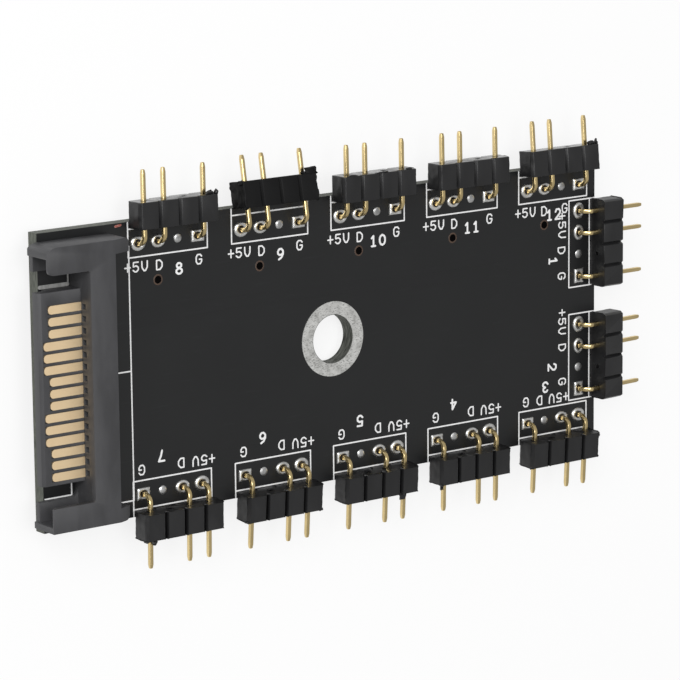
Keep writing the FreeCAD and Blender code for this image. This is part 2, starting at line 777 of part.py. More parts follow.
PIECES = make_pieces()
check(PIECES)
write(PIECES)
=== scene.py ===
import math

import bmesh
import bpy
from bpy.props import FloatProperty, FloatVectorProperty, PointerProperty
from bpy.types import Operator, Panel, PropertyGroup
from mathutils import Matrix, Vector, noise


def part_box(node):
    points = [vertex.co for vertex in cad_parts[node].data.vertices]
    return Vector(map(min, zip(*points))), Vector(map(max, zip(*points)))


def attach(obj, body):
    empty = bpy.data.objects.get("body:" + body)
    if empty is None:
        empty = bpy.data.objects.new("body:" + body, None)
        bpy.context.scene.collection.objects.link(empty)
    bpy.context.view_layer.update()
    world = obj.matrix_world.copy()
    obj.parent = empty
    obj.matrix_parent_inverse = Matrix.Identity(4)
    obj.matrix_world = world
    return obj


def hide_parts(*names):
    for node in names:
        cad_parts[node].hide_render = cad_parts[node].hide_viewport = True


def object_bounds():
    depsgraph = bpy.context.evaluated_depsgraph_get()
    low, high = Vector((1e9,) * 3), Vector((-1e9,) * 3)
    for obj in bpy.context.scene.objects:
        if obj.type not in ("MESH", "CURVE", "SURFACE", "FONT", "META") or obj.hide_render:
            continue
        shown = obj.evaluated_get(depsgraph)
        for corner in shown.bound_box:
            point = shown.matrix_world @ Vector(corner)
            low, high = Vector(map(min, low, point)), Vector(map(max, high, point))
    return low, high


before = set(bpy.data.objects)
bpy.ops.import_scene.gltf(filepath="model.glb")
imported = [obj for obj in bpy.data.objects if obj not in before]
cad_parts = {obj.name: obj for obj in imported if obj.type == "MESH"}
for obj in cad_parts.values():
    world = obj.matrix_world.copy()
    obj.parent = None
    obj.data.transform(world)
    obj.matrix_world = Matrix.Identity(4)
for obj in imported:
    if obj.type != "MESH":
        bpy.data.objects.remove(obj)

bl_info = {
    "name": "Fan light hub",
    "version": (1, 0, 0),
    "blender": (4, 5, 0),
    "location": "3D View > Sidebar > Fan hub",
    "description": "Dresses the hub: board finish, print, pads, solder, pins and moulded parts",
    "category": "Object",
}

MM = 0.001
BODY = "root"

# Places that the whole file uses, read from the frame
BOARD_LOW, BOARD_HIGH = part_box("circuit_board")
FACE_Z = BOARD_HIGH[2]
BACK_Z = BOARD_LOW[2]
HOUSING_LOW, HOUSING_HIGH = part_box("power_housing")
RING_LOW, RING_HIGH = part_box("mounting_ring")
PINS_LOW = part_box("header_pins_08")[0]
PART_LOW, PART_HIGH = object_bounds()

CONTACT_COUNT = 15
PITCH = 2.54 * MM
PIN_PLACES = (-1.5, -0.5, 1.5)
KEY_PLACE = 0.5
ROW_COUNT = 5
COLUMN_COUNT = 2
# Middle of the first upper row, distance from one row to the next and from pads to the edge
FIRST_ROW = -21.64 * MM
ROW_PITCH = 13.335 * MM
ROW_INSET = 2.42 * MM
# Backward tilt of each row about the board's edge, in degrees, rows 1 to 12
TILTS = (0.0, 4.0, 3.4, 1.4, 3.4, 4.3, 1.2, 0.8, 10.0, 0.8, 1.1, 4.6)
# Height of the pins over the board, and how far their tips stick out, columns first
RUN_HEIGHT = 1.27 * MM
TIP_REACHES = (5.98 * MM, 5.58 * MM)
# Half the length of a strip, the length of its rough ends, and the seed of their noise
STRIP_HALF = 5.08 * MM
ROUGH_LENGTH = 0.55 * MM
NOISE_SEED = 3
# Pads of the power, data and ground pins: reach, then stretch along and across the row
PADS = ((0.9 * MM, 1.06, 0.93), (0.82 * MM, 1.12, 0.9), (0.74 * MM, 1.14, 0.9))
# Mounting hole and its thin plated lining
HOLE_RADIUS = 2.75 * MM
LINING = 0.05 * MM
# Inner and outer line of a row's printed frame, counted from the board's edge
FRAME_INNER = -ROW_INSET - 1.46 * MM
FRAME_OUTER = -ROW_INSET + 1.62 * MM
# Upper arm of the socket: where it begins, and the corner that is cut away at its front
ARM_START = 11.5 * MM
CORNER_START = 14.2 * MM
CORNER_LENGTH = 1.1 * MM
CORNER_CUT = 0.55 * MM
# Rear wall of the socket and the ear on it: where they begin and how far they move back
WALL_START = -31.1 * MM
WALL_SHIFT = 0.16 * MM
EAR_START = (-30.3 * MM, 12.8 * MM)
EAR_SHIFT = 0.6 * MM


def metres(place):
    """A place or size in metres from one in millimetres."""
    return tuple(part * MM for part in place)


def linear(code):
    """Linear colour of an sRGB hex code."""
    channels = [int(code[place:place + 2], 16) / 255 for place in (1, 3, 5)]
    return tuple(
        channel / 12.92 if channel <= 0.04045 else ((channel + 0.055) / 1.055) ** 2.4
        for channel in channels)


def length(name, description, millimetres):
    """A length property with its default in millimetres."""
    return FloatProperty(
        name=name, description=description, default=millimetres * MM, unit="LENGTH")


def hex_colour(name, description, code):
    """A colour property with an sRGB hex code as its default."""
    return FloatVectorProperty(
        name=name, description=description, subtype="COLOR", default=linear(code), min=0, max=1)


class HubSizes(PropertyGroup):
    """Sizes of the printed, plated and soldered details."""
    print_width: length("Print line", "Width of a printed line", 0.155)
    print_height: length("Print thickness", "Thickness of the white ink", 0.03)
    letter_height: length("Letter height", "Height of a printed pin mark", 1.16)
    letter_line: length("Letter line", "Line width of a printed pin mark", 0.16)
    number_height: length("Number height", "Height of a printed port number", 1.36)
    number_line: length("Number line", "Line width of a printed port number", 0.22)
    hole_size: length("Pin hole", "Bore of the board's pin holes", 1.0)
    pad_height: length("Pad thickness", "Height of the tin on a pad", 0.2)
    pin_side: length("Pin", "Side of a pin", 0.5)
    pin_bend: length("Pin bend", "Radius of a pin's middle line in its bend", 0.9)
    track_height: length("Track", "Height of a copper edge under the mask", 0.01)
    via_size: length("Via", "Width of a via's ring", 1.2)
    edge_round: length("Strip edge", "Width of the rounded edges of a strip", 0.07)
    socket_round: length("Socket edge", "Width of the rounded edges of the socket", 0.11)
    break_depth: length("Break", "Depth of the rough ends where a strip was snapped off", 0.07)


class HubColours(PropertyGroup):
    """Colours of the hub's finishes."""
    mask: hex_colour("Mask", "Colour of the board's mask", "#101112")
    print_ink: hex_colour("Print", "Colour of the printed lines", "#F2F2F2")
    socket: hex_colour("Socket", "Colour of the socket's plastic", "#3E3E40")
    strip: hex_colour("Strip", "Colour of the pin strips' plastic", "#19191A")
    gold: hex_colour("Gold", "Colour of the pins' gold plating", "#ECD49C")
    contact: hex_colour("Contact", "Colour of the socket contacts' plating", "#FFE6BE")


def sizes():
    return bpy.context.scene.hub_sizes


def colours():
    return bpy.context.scene.hub_colours


def add_node(tree, kind, settings=None, links=None):
    """Adds a node, sets its sockets or attributes and links its inputs."""
    node = tree.nodes.new(kind)
    for name, setting in (settings or {}).items():
        if isinstance(name, int) or name in node.inputs:
            node.inputs[name].default_value = setting
        else:
            setattr(node, name, setting)
    for name, source in (links or {}).items():
        tree.links.new(source, node.inputs[name])
    return node


def new_material(name):
    """An empty material and its tree, with only the output node."""
    material = bpy.data.materials.new(name)
    material.use_nodes = True
    tree = material.node_tree
    tree.nodes.clear()
    return material, tree, tree.nodes.new("ShaderNodeOutputMaterial")


def opaque(colour):
    return (*tuple(colour)[:3], 1.0)


def scaled_place(tree, size_mm, stretch=(1.0, 1.0, 1.0)):
    """Object coordinates counted in steps of the given size, stretched along the axes."""
    place = add_node(tree, "ShaderNodeTexCoord")
    scale = tuple(1000.0 / size_mm / part for part in stretch)
    return add_node(
        tree, "ShaderNodeMapping", {"Scale": scale}, {"Vector": place.outputs["Object"]})


def noise_node(tree, size_mm, detail=3.0, stretch=(1.0, 1.0, 1.0)):
    """Noise with features of the given size."""
    return add_node(tree, "ShaderNodeTexNoise", {"Scale": 1.0, "Detail": detail}, {
        "Vector": scaled_place(tree, size_mm, stretch).outputs["Vector"]})


def spread(tree, source, low, high, start=0.35, end=0.65):
    """Maps a noise to the range from low to high."""
    return add_node(tree, "ShaderNodeMapRange", {
        "From Min": start, "From Max": end, "To Min": low, "To Max": high}, {
        "Value": source}).outputs["Result"]


def bump_node(tree, source, distance_mm, strength=0.4):
    return add_node(tree, "ShaderNodeBump", {
        "Strength": strength, "Distance": distance_mm * MM}, {"Height": source}).outputs["Normal"]


def blend_colours(tree, factor, first, second):
    return add_node(tree, "ShaderNodeMix", {
        "data_type": "RGBA", "A": opaque(first), "B": opaque(second)}, {
        "Factor": factor}).outputs["Result"]


def mask_shader(tree):
    """Satin black mask: cured lacquer with a 0.5 mm orange peel, faint haze and rub marks."""
    peel = noise_node(tree, 0.5, 4.0)
    haze = noise_node(tree, 9.0, 2.0)
    rubs = noise_node(tree, 0.3, 2.0, (14.0, 1.0, 1.0))
    marks = spread(tree, rubs.outputs["Fac"], 0.0, 1.0, 0.62, 0.74)
    tone = blend_colours(tree, marks, colours().mask, [c * 1.5 for c in colours().mask])
    return add_node(tree, "ShaderNodeBsdfPrincipled", {"IOR": 1.5}, {
        "Base Color": tone, "Roughness": spread(tree, haze.outputs["Fac"], 0.37, 0.42),
        "Normal": bump_node(tree, peel.outputs["Fac"], 0.008, 0.25)})


def mask_over_laminate():
    """Black solder mask on glass-fibre laminate: a satin dark skin, raw greenish edges."""
    material, tree, out = new_material("solder_mask_on_glass_fibre")
    mask = mask_shader(tree)
    # Laminate: woven glass in resin, seen as plies 0.2 mm thick across the cut edge
    plies = noise_node(tree, 0.2, 3.0, (5.0, 5.0, 1.0))
    tone = blend_colours(
        tree, spread(tree, plies.outputs["Fac"], 0.0, 1.0), linear("#3F423A"), linear("#60635A"))
    laminate = add_node(tree, "ShaderNodeBsdfPrincipled", {"Roughness": 0.6, "IOR": 1.5}, {
        "Base Color": tone, "Normal": bump_node(tree, plies.outputs["Fac"], 0.02)})
    # Only faces that look up or down carry the mask
    facing = add_node(tree, "ShaderNodeNewGeometry")
    split = add_node(tree, "ShaderNodeSeparateXYZ", None, {"Vector": facing.outputs["True Normal"]})
    flat = add_node(tree, "ShaderNodeMath", {"operation": "ABSOLUTE"}, {0: split.outputs["Z"]})
    masked = add_node(tree, "ShaderNodeMath", {"operation": "GREATER_THAN", 1: 0.5}, {
        0: flat.outputs["Value"]})
    blend = add_node(tree, "ShaderNodeMixShader", None, {
        0: masked.outputs["Value"], 1: laminate.outputs["BSDF"], 2: mask.outputs["BSDF"]})
    tree.links.new(blend.outputs["Shader"], out.inputs["Surface"])
    return material


def plain_mask():
    """The same mask on the raised copper edges."""
    material, tree, out = new_material("solder_mask_over_copper")
    tree.links.new(mask_shader(tree).outputs["BSDF"], out.inputs["Surface"])
    return material


def printed_ink():
    """Screen-printed epoxy ink: chalky white, slightly uneven over 0.3 mm."""
    material, tree, out = new_material("screen_printed_epoxy_ink")
    cover = noise_node(tree, 0.3)
    tone = blend_colours(
        tree, spread(tree, cover.outputs["Fac"], 0.0, 1.0),
        [c * 0.86 for c in colours().print_ink], colours().print_ink)
    ink = add_node(tree, "ShaderNodeBsdfPrincipled", None, {
        "Base Color": tone, "Roughness": spread(tree, cover.outputs["Fac"], 0.75, 0.6),
        "Normal": bump_node(tree, cover.outputs["Fac"], 0.004)})
    tree.links.new(ink.outputs["BSDF"], out.inputs["Surface"])
    return material


def moulded_plastic(name, roughness, grain_mm, colour, flow_mm, index=1.5, side_roughness=None):
    """Injection-moulded plastic with the fine grain of its mould and broad flow marks.

    The faces that look along Y can be smoother than the rest.
    """
    material, tree, out = new_material(name)
    grain = noise_node(tree, grain_mm, 4.0)
    flow = noise_node(tree, flow_mm, 3.0, (1.0, 3.0, 1.0))
    tone = blend_colours(
        tree, spread(tree, flow.outputs["Fac"], 0.0, 1.0), [c * 0.85 for c in colour],
        [c * 1.15 for c in colour])
    gloss = spread(tree, flow.outputs["Fac"], roughness - 0.05, roughness + 0.05)
    if side_roughness is not None:
        facing = add_node(tree, "ShaderNodeNewGeometry")
        split = add_node(
            tree, "ShaderNodeSeparateXYZ", None, {"Vector": facing.outputs["True Normal"]})
        sideways = add_node(tree, "ShaderNodeMath", {"operation": "GREATER_THAN", 1: 0.9}, {
            0: split.outputs["Y"]})
        gloss = add_node(tree, "ShaderNodeMapRange", {"To Max": side_roughness}, {
            "Value": sideways.outputs["Value"], "To Min": gloss}).outputs["Result"]
    plastic = add_node(tree, "ShaderNodeBsdfPrincipled", {"IOR": index}, {
        "Base Color": tone, "Roughness": gloss,
        "Normal": bump_node(tree, grain.outputs["Fac"], 0.012, 0.3)})
    tree.links.new(plastic.outputs["BSDF"], out.inputs["Surface"])
    return material


def plated_metal(name, light, dark, roughness, grain_mm, bump_mm, stretch=(1.0, 1.0, 1.0)):
    """Plated metal with a faint grain: the colour dulls and the gloss varies with it."""
    material, tree, out = new_material(name)
    grain = noise_node(tree, grain_mm, 3.0, stretch)
    source = grain.outputs["Fac"]
    metal = add_node(tree, "ShaderNodeBsdfPrincipled", {"Metallic": 1.0}, {
        "Base Color": blend_colours(tree, spread(tree, source, 0.0, 1.0), dark, light),
        "Roughness": spread(tree, source, roughness + 0.06, roughness),
        "Normal": bump_node(tree, source, bump_mm, 0.2)})
    tree.links.new(metal.outputs["BSDF"], out.inputs["Surface"])
    return material


def scuffed_tin():
    """Tin on the ring of the mounting hole: dull, scratched by screw heads and handling."""
    material, tree, out = new_material("scuffed_tin_plate")
    cloud = noise_node(tree, 1.1, 8.0)
    strokes = noise_node(tree, 0.09, 3.0, (3.0, 1.4, 1.0))
    cuts = spread(tree, strokes.outputs["Fac"], 0.0, 0.85, 0.52, 0.7)
    ground = blend_colours(
        tree, spread(tree, cloud.outputs["Fac"], 0.0, 1.0), linear("#C2C2BF"), linear("#FAFAF7"))
    tone = add_node(tree, "ShaderNodeMix", {
        "data_type": "RGBA", "B": opaque(linear("#8F8F8C"))}, {"Factor": cuts, "A": ground})
    metal = add_node(tree, "ShaderNodeBsdfPrincipled", {"Metallic": 1.0}, {
        "Base Color": tone.outputs["Result"],
        "Roughness": spread(tree, cloud.outputs["Fac"], 0.62, 0.45),
        "Normal": bump_node(tree, strokes.outputs["Fac"], 0.01)})
    tree.links.new(metal.outputs["BSDF"], out.inputs["Surface"])
    return material


def flux_residue():
    """Brown flux left over the tin inside the holes."""
    material, tree, out = new_material("burnt_flux_over_tin")
    cloud = noise_node(tree, 0.35)
    tone = blend_colours(
        tree, spread(tree, cloud.outputs["Fac"], 0.0, 1.0), linear("#0A0806"), linear("#241A10"))
    flux = add_node(tree, "ShaderNodeBsdfPrincipled", {"Coat Weight": 0.6}, {
        "Base Color": tone, "Roughness": spread(tree, cloud.outputs["Fac"], 0.3, 0.5),
        "Normal": bump_node(tree, cloud.outputs["Fac"], 0.02)})
    tree.links.new(flux.outputs["BSDF"], out.inputs["Surface"])
    return material


def make_materials():
    """Every finish of the hub, by a short key."""
    gold = tuple(colours().gold)
    contact = tuple(colours().contact)
    return {
        "board": mask_over_laminate(),
        "track": plain_mask(),
        "ink": printed_ink(),
        # Heat-resistant nylon, satin from a spark-eroded mould
        "housing": moulded_plastic(
            "glass_filled_nylon_satin", 0.5, 0.12, tuple(colours().socket), 1.6),
        # Polyester strip, snapped from a long bar
        "strip": moulded_plastic(
            "moulded_polyester_matte", 0.4, 0.16, tuple(colours().strip), 2.0),
        # The same from another bar, its outer side smooth where the mould slid along it
        "slid_strip": moulded_plastic(
            "moulded_polyester_smooth_side", 0.4, 0.16, tuple(colours().strip), 2.0,
            side_roughness=0.1),
        # Bright gold flash over nickel on drawn brass wire
        "pin": plated_metal(
            "gold_flash_on_drawn_brass", gold, [c * 0.84 for c in gold], 0.2, 2.5, 0.001),
        # Thin satin gold over nickel on stamped bronze
        "contact": plated_metal(
            "satin_gold_on_stamped_bronze", contact, [c * 0.92 for c in contact], 0.54, 1.2, 0.002),
        "ring": scuffed_tin(),
        # Reflowed tin on the copper pads
        "tin": plated_metal(
            "reflowed_tin_on_copper", linear("#FAFAF8"), linear("#D6D6D3"), 0.3, 0.5, 0.01),
        "solder": plated_metal(
            "reflowed_solder", linear("#E0E0DF"), linear("#ADADAC"), 0.32, 0.6, 0.01),
        "flux": flux_residue(),
        # Dull plating inside the mounting hole, marked round the bore by the drill
        "bore": plated_metal(
            "dull_plated_bore", linear("#7C7E78"), linear("#3A3C38"), 0.6, 0.14, 0.01,
            (9.0, 9.0, 1.0)),
        # Copper ring of a via, brown through the mask
        "via_ring": moulded_plastic(
            "mask_over_via_copper", 0.5, 0.2, linear("#4A382C"), 0.5),
        # Shadowed plating deep inside a via
        "via": moulded_plastic(
            "shadowed_via_plating", 0.8, 0.1, linear("#050404"), 0.3, 1.1),
        # Print under the socket's arm, its ink greyed as the painted shade of the arm
        "ink_painted_shade": moulded_plastic(
            "epoxy_ink_painted_arm_shade", 0.7, 0.1, linear("#8E8E8C"), 0.3),
        # Strip torn off by force, its surface crazed; its colour darkened to about a third as
        # painted shade for its steep tilt
        "torn_and_shaded_strip": moulded_plastic(
            "torn_polyester_painted_shade", 0.6, 0.1, [c * 0.35 for c in colours().strip], 0.8, 1.3),
        # Fresh copper where the board was cut
        "bare_copper": plated_metal(
            "fresh_cut_copper", linear("#F6BDB2"), linear("#CC6A5C"), 0.35, 0.15, 0.01),
    }


MATERIALS = {}


def material(key):
    if not MATERIALS:
        MATERIALS.update(make_materials())
    return MATERIALS[key]


def dress(node, key):
    """Gives a carried-over node its finish in each of its material slots."""
    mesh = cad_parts[node].data
    if not mesh.materials:
        mesh.materials.append(material(key))
    for place in range(len(mesh.materials)):
        mesh.materials[place] = material(key)


def finish_piece(name, work, key, smooth_angle=0.0):
    """Turns finished mesh work into a piece that rides on the hub."""
    bmesh.ops.recalc_face_normals(work, faces=work.faces)
    mesh = bpy.data.meshes.new(name)
    work.to_mesh(mesh)
    work.free()
    mesh.materials.append(material(key))
    for polygon in mesh.polygons:
        polygon.use_smooth = smooth_angle > 0
    if smooth_angle > 0:
        mesh.set_sharp_from_angle(angle=math.radians(smooth_angle))
    piece = bpy.data.objects.new(name, mesh)
    bpy.context.scene.collection.objects.link(piece)
    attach(piece, BODY)
    return piece


def row_frame(number):
    """Matrix of a row: origin at the board's edge, X along the row, Y outwards, Z up."""
    if number <= COLUMN_COUNT:
        spot = Vector((BOARD_HIGH[0], (COLUMN_COUNT / 2 + 0.5 - number) * ROW_PITCH, FACE_Z))
        turn = -90
    elif number <= COLUMN_COUNT + ROW_COUNT:
        step = COLUMN_COUNT + ROW_COUNT - number
        spot = Vector((FIRST_ROW + step * ROW_PITCH, BOARD_LOW[1], FACE_Z))
        turn = 180
    else:
        step = number - COLUMN_COUNT - ROW_COUNT - 1
        spot = Vector((FIRST_ROW + step * ROW_PITCH, BOARD_HIGH[1], FACE_Z))
        turn = 0
    return Matrix.Translation(spot) @ Matrix.Rotation(math.radians(turn), 4, "Z")


def tilted_frame(number):
    """Matrix of a row's strip and pins, tilted about the board's edge."""
    return row_frame(number) @ Matrix.Rotation(-math.radians(TILTS[number - 1]), 4, "X")


def row_numbers():
    return range(1, COLUMN_COUNT + 2 * ROW_COUNT + 1)


def add_bar(work, low, high, matrix=None):
    """Adds a box between two corners to the mesh work."""
    low, high = Vector(low), Vector(high)
    size = high - low
    placed = Matrix.Translation((low + high) / 2) @ Matrix.Diagonal((*size, 1.0))
    if matrix is not None:
        placed = matrix @ placed
    bmesh.ops.create_cube(work, size=1.0, matrix=placed)


def add_spun(work, profile, centre=(0.0, 0.0, 0.0), steps=24):
    """Adds a ring turned about a vertical line from a closed (radius, height) profile."""
    loop = bmesh.ops.create_circle(work, cap_ends=False, radius=MM, segments=len(profile))["verts"]
    for corner, (radius, height) in zip(loop, profile):
        corner.co = Vector(centre) + Vector((radius, 0.0, height))
    edges = list({edge for corner in loop for edge in corner.link_edges})
    bmesh.ops.spin(
        work, geom=list(loop) + edges, cent=centre, axis=(0, 0, 1), angle=2 * math.pi,
        steps=steps, use_merge=True)


def add_stack(work, levels, centre=(0.0, 0.0, 0.0), corners=24):
    """Adds a round solid from (radius, height) levels, bottom to top."""
    centre = Vector(centre)
    radius, height = levels[0]
    loop = bmesh.ops.create_circle(
        work, cap_ends=True, radius=radius, segments=corners,
        matrix=Matrix.Translation(centre + Vector((0, 0, height))))["verts"]
    face = loop[0].link_faces[0]
    for next_radius, next_height in levels[1:]:
        face = push(work, face, Vector((0, 0, next_height - height)), next_radius / radius)
        radius, height = next_radius, next_height


def push(work, face, way, factor=1.0):
    """Extrudes an end face along a way, scales it and returns it."""
    grown = bmesh.ops.extrude_face_region(work, geom=[face])["geom"]
    face = next(item for item in grown if isinstance(item, bmesh.types.BMFace))
    bmesh.ops.translate(work, verts=face.verts, vec=way)
    if factor != 1.0:
        centre = face.calc_center_median()
        bmesh.ops.scale(
            work, verts=face.verts, vec=(factor, factor, factor),
            space=Matrix.Translation(-centre))
    return face


def stamp(work, model, matrix):
    """Adds a copy of another mesh work at a place."""
    mesh = bpy.data.meshes.new("copy")
    model.to_mesh(mesh)
    mesh.transform(matrix)
    work.from_mesh(mesh)
    bpy.data.meshes.remove(mesh)


def node_work(node):
    """Mesh work from a carried-over node, its loose triangles joined into whole flat faces."""
    work = bmesh.new()
    work.from_mesh(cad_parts[node].data)
    work.transform(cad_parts[node].matrix_world)
    bmesh.ops.remove_doubles(work, verts=work.verts, dist=0.002 * MM)
    bmesh.ops.dissolve_limit(
        work, angle_limit=math.radians(1), verts=work.verts, edges=work.edges)
    bmesh.ops.recalc_face_normals(work, faces=work.faces)
    return work


def cut(work, faces, place, normal):
    """Cuts faces along a plane, without parting them."""
    edges = {edge for face in faces for edge in face.edges}
    corners = {corner for face in faces for corner in face.verts}
    bmesh.ops.bisect_plane(
        work, geom=[*faces, *edges, *corners], plane_co=place, plane_no=normal)


def round_edges(work, width):
    """Rounds every sharp edge of the mesh work with two segments."""
    sharp = [edge for edge in work.edges
             if edge.is_manifold and edge.calc_face_angle() > math.radians(30)]
    bmesh.ops.bevel(
        work, geom=sharp, offset=width, offset_type="OFFSET", affect="EDGES", segments=2,
        profile=0.5, material=-1, clamp_overlap=True)


class HUB_OT_dress_nodes(Operator):
    """Gives the parts that keep their own shape their finishes"""
    bl_idname = "hub.dress_nodes"
    bl_label = "Finish the carried-over parts"

    def execute(self, context):
        finishes = {
            "circuit_board": "board", "mounting_ring": "ring", "power_housing": "housing",
            "power_contact": "contact", "header_body": "strip", "header_pins": "pin",
            "header_solder": "solder", "key_solder": "solder", "power_solder": "solder",
        }
        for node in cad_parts:
            key = next(found for start, found in finishes.items() if node.startswith(start))
            dress(node, key)
        return {"FINISHED"}


def pin_model(number):
    """One bent pin in its row's tilted frame, from its domed tip to its tail."""
    tilt = math.radians(TILTS[number - 1])
    bend = sizes().pin_bend
    half = sizes().pin_side / 2
    tip = TIP_REACHES[0] if number <= COLUMN_COUNT else TIP_REACHES[1]
    edge = 0.05 * MM
    taper = 0.4 * MM
    turn = math.pi / 2 + tilt
    corner = -ROW_INSET / math.cos(tilt) - RUN_HEIGHT * math.tan(tilt)
    start = corner + bend * math.tan(turn / 2)
    work = bmesh.new()
    place = Matrix.Translation((0, tip, RUN_HEIGHT)) @ Matrix.Rotation(math.pi / 2, 4, "X")
    loop = bmesh.ops.create_circle(
        work, cap_ends=True, radius=half, segments=16, matrix=place)["verts"]
    # A well-rounded square section, at its smallest at the blunt tip
    for point in loop:
        arm = (point.co - Vector((0, tip, RUN_HEIGHT))) / half
        swell = (arm.x ** 4 + arm.z ** 4) ** -0.25
        point.co = Vector((0, tip, RUN_HEIGHT)) + arm * half * swell * 0.6
    face = loop[0].link_faces[0]
    face = push(work, face, Vector((0, -edge, 0)), 1.25)
    face = push(work, face, Vector((0, -taper, 0)), 1 / 0.75)
    face = push(work, face, Vector((0, start - tip + edge + taper, 0)))
    swept = bmesh.ops.spin(
        work, geom=[face], cent=(0, start, RUN_HEIGHT - bend), axis=(1, 0, 0), angle=turn,
        steps=10, use_merge=False)["geom_last"]
    face = next(item for item in swept if isinstance(item, bmesh.types.BMFace))
    down = Vector((0, math.sin(tilt), -math.cos(tilt)))
    end = face.calc_center_median()
    height = end.z * math.cos(tilt) - end.y * math.sin(tilt)
    end_taper = 0.1 * MM
    face = push(work, face, down * (height - PINS_LOW[2] + FACE_Z - end_taper))
    push(work, face, down * end_taper, 0.6)
    return work


class HUB_OT_add_pins(Operator):
    """Adds the bent pins with their rounded wire, smooth bends and domed tips"""
    bl_idname = "hub.add_pins"
    bl_label = "Add the pins"

    def execute(self, context):
        for number in row_numbers():
            model = pin_model(number)
            work = bmesh.new()
            for step in PIN_PLACES:
                place = tilted_frame(number) @ Matrix.Translation((step * PITCH, 0, 0))
                stamp(work, model, place)
            model.free()
            piece = finish_piece("pins_%02d" % number, work, "pin", 50)
            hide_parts("header_pins_%02d" % number)
        return {"FINISHED"}


def pad_profile(reach):
    """Closed section of a domed tin ring that swells over the rim of a hole."""
    hole = sizes().hole_size / 2
    lip = hole - 0.16 * MM
    top = sizes().pad_height
    points = ((0.0, 0.0), (0.04, 0.45), (0.22, 0.88), (0.48, 1.0), (0.75, 0.85), (0.93, 0.4))
    profile = [(reach - (reach - lip) * share, top * level) for share, level in points]
    profile += [(lip, -0.02 * MM), (hole - 0.03 * MM, -0.16 * MM)]
    return profile + [(hole - 0.03 * MM, -0.4 * MM), (hole, -0.4 * MM), (hole, 0.0)]


def round_pad(reach):
    work = bmesh.new()
    add_spun(work, pad_profile(reach), steps=32)
    return work


def square_pad(reach):
    """A square pad with a round hole: a round one with its outer part drawn into the corners."""
    work = round_pad(reach)
    for point in work.verts:
        arm = Vector((point.co.x, point.co.y))
        if arm.length > 0.6 * MM:
            stretch = arm.length / max(abs(arm.x), abs(arm.y))
            point.co.x *= stretch
            point.co.y *= stretch
    return work


class HUB_OT_add_pads(Operator):
    """Adds the tinned pads of the pins: round for power, oblong for data, square for ground"""
    bl_idname = "hub.add_pads"
    bl_label = "Add the pads"

    def execute(self, context):
        makers = (round_pad, round_pad, square_pad)
        models = [maker(pad[0]) for maker, pad in zip(makers, PADS)]
        shapes = [Matrix.Diagonal((along, across, 1.0, 1.0)) for _, along, across in PADS]
        tin = bmesh.new()
        flux = bmesh.new()
        for number in row_numbers():
            for step, model, shape in zip(PIN_PLACES, models, shapes):
                spot = Matrix.Translation((step * PITCH, -ROW_INSET, 0))
                stamp(tin, model, row_frame(number) @ spot @ shape)
                centre = (row_frame(number) @ spot).to_translation()
                radius = sizes().hole_size / 2 - 0.06 * MM
                add_stack(flux, (
                    (radius, -0.45 * MM), (radius, -0.12 * MM), (radius * 0.85, -0.05 * MM),
                    (radius * 0.74, 0.06 * MM), (radius * 0.7, 0.2 * MM)), centre)
        for model in models:
            model.free()
        finish_piece("tinned_pads", tin, "tin", 60)
        finish_piece("hole_flux", flux, "flux", 60)
        return {"FINISHED"}


def joint_model():
    """Solder of one pin: the filling of its hole and the hollow cone on the board's back."""
    work = bmesh.new()
    pin = sizes().pin_side / 2
    hole = sizes().hole_size / 2 - 0.01 * MM
    depth = BACK_Z - FACE_Z
    points = (
        (0.9, 0.0), (0.88, -0.07), (0.7, -0.14), (0.54, -0.26), (0.43, -0.42), (0.36, -0.58),
        (0.31, -0.72))
    profile = [(pin, -0.5 * MM), (hole, -0.5 * MM), (hole, depth)]
    profile += [(radius * MM, depth + level * MM) for radius, level in points]
    profile.append((pin, depth - 0.75 * MM))
    add_spun(work, profile, steps=24)
    return work


def key_model():
    """Solder plug of an empty place: a low dome in front and a round bead behind."""
    work = bmesh.new()
    depth = BACK_Z - FACE_Z
    levels = (
        (0.15, -0.2), (0.36, -0.17), (0.56, -0.1), (0.65, 0.0), (0.44, 0.0))
    levels = [(radius * MM, depth + level * MM) for radius, level in levels]
    levels += [(0.44 * MM, 0.0), (0.5 * MM, 0.005 * MM), (0.44 * MM, 0.06 * MM)]
    levels += [(0.3 * MM, 0.1 * MM), (0.12 * MM, 0.12 * MM)]
    add_stack(work, levels)
    return work


class HUB_OT_add_solder(Operator):
    """Adds the solder joints of the pins, the empty places and the power contacts"""
    bl_idname = "hub.add_solder"
    bl_label = "Add the solder"

    def execute(self, context):
        joints = bmesh.new()
        domes = bmesh.new()
        joint = joint_model()
        dome = key_model()
        for number in row_numbers():
            for step in PIN_PLACES:
                spot = Matrix.Translation((step * PITCH, -ROW_INSET, 0))
                stamp(joints, joint, row_frame(number) @ spot)
            spot = Matrix.Translation((KEY_PLACE * PITCH, -ROW_INSET, 0))
            stamp(domes, dome, row_frame(number) @ spot)
        joint.free()
        dome.free()
        piece = finish_piece("pin_joints", joints, "solder", 50)
        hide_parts("header_solder")
        piece = finish_piece("key_plugs", domes, "solder", 50)
        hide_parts("key_solder")
        tails = bmesh.new()
        for number in range(1, CONTACT_COUNT + 1):
            low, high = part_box("power_contact_%02d" % number)
            centre = (high[0] - 0.125 * MM, (low[1] + high[1]) / 2, BACK_Z)
            add_stack(tails, (
                (0.3 * MM, -0.5 * MM), (0.36 * MM, -0.38 * MM), (0.43 * MM, -0.2 * MM),
                (0.5 * MM, -0.08 * MM), (0.55 * MM, 0.0)), centre)
        piece = finish_piece("tail_joints", tails, "solder", 50)
        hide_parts("power_solder")
        return {"FINISHED"}


